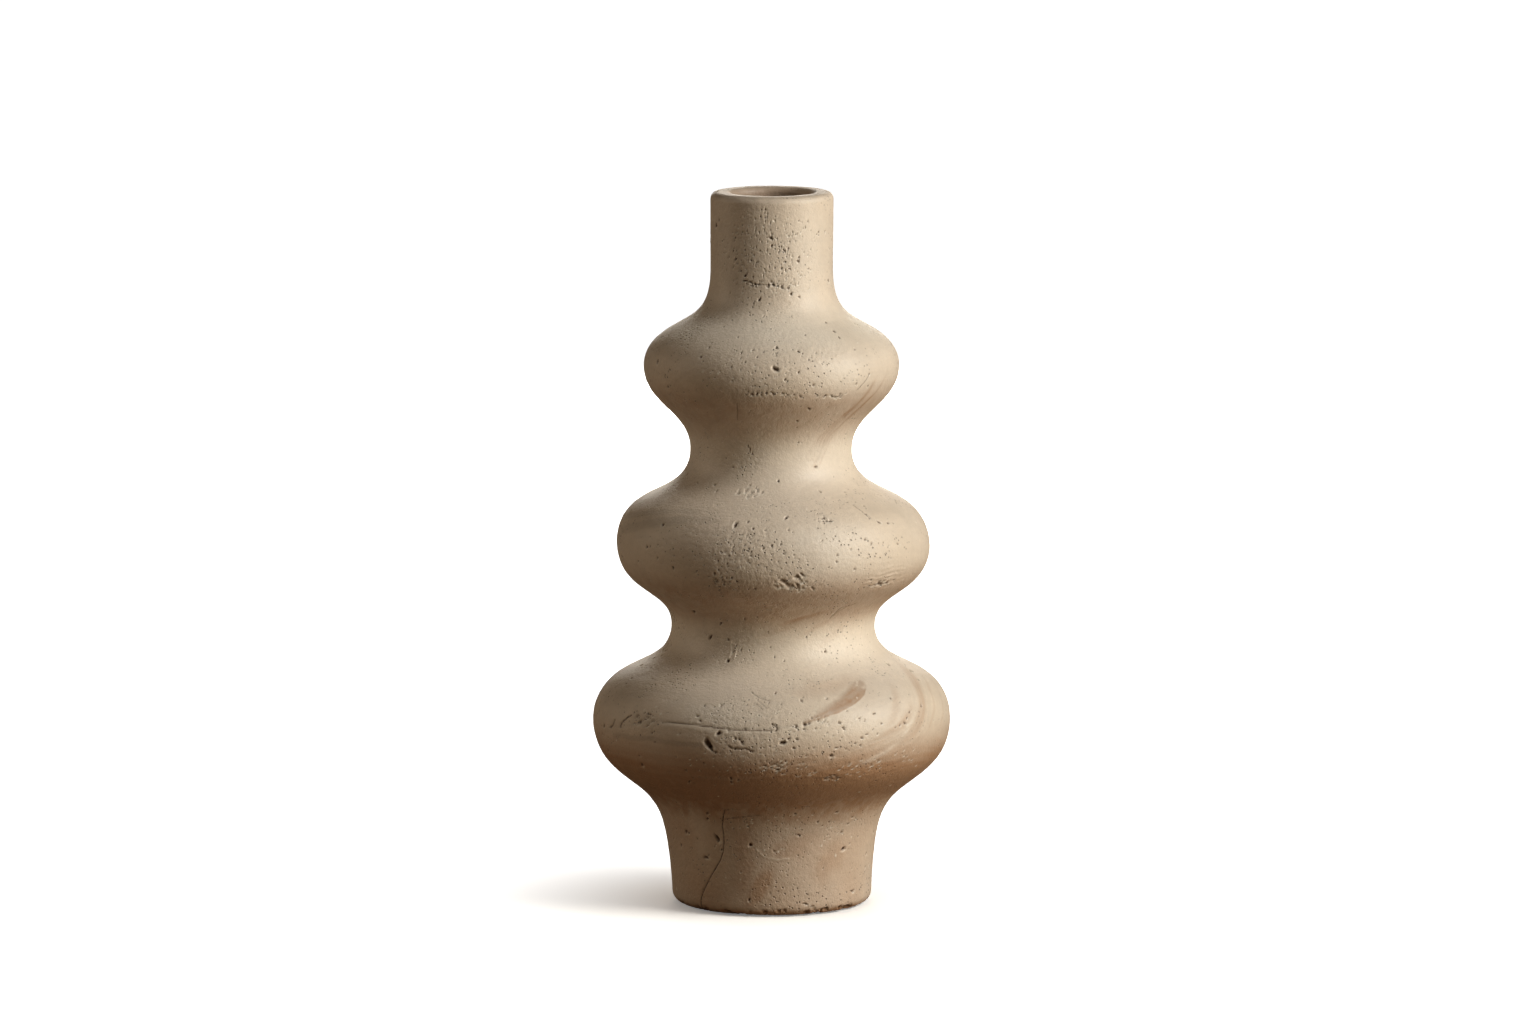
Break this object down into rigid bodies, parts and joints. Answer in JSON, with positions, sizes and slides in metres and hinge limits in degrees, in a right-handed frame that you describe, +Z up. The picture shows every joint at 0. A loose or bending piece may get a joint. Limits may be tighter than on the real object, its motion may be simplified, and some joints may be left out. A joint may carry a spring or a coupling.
{
  "type": "vase",
  "caption": "Hollow cast vase with a straight neck and open round mouth over stacked rounded bulbs that widen downwards, narrow waists between them, and a gently flared foot.",
  "frame": {"origin": "centre of the plane that the vase rests on, on its axis of revolution", "axes": "+Z up along the axis of revolution, from the foot to the mouth; +X and +Y are level, and the pads stand midway between them"},
  "size_m": [0.15, 0.1498, 0.3],
  "materials": {
    "plaster": "matte unglazed, warm beige, pitted and veined",
    "pad": "matte"
  },
  "bodies": {
    "root": {"vase_body": "plaster", "foot_pads": "pad"}
  },
  "joints": []
}
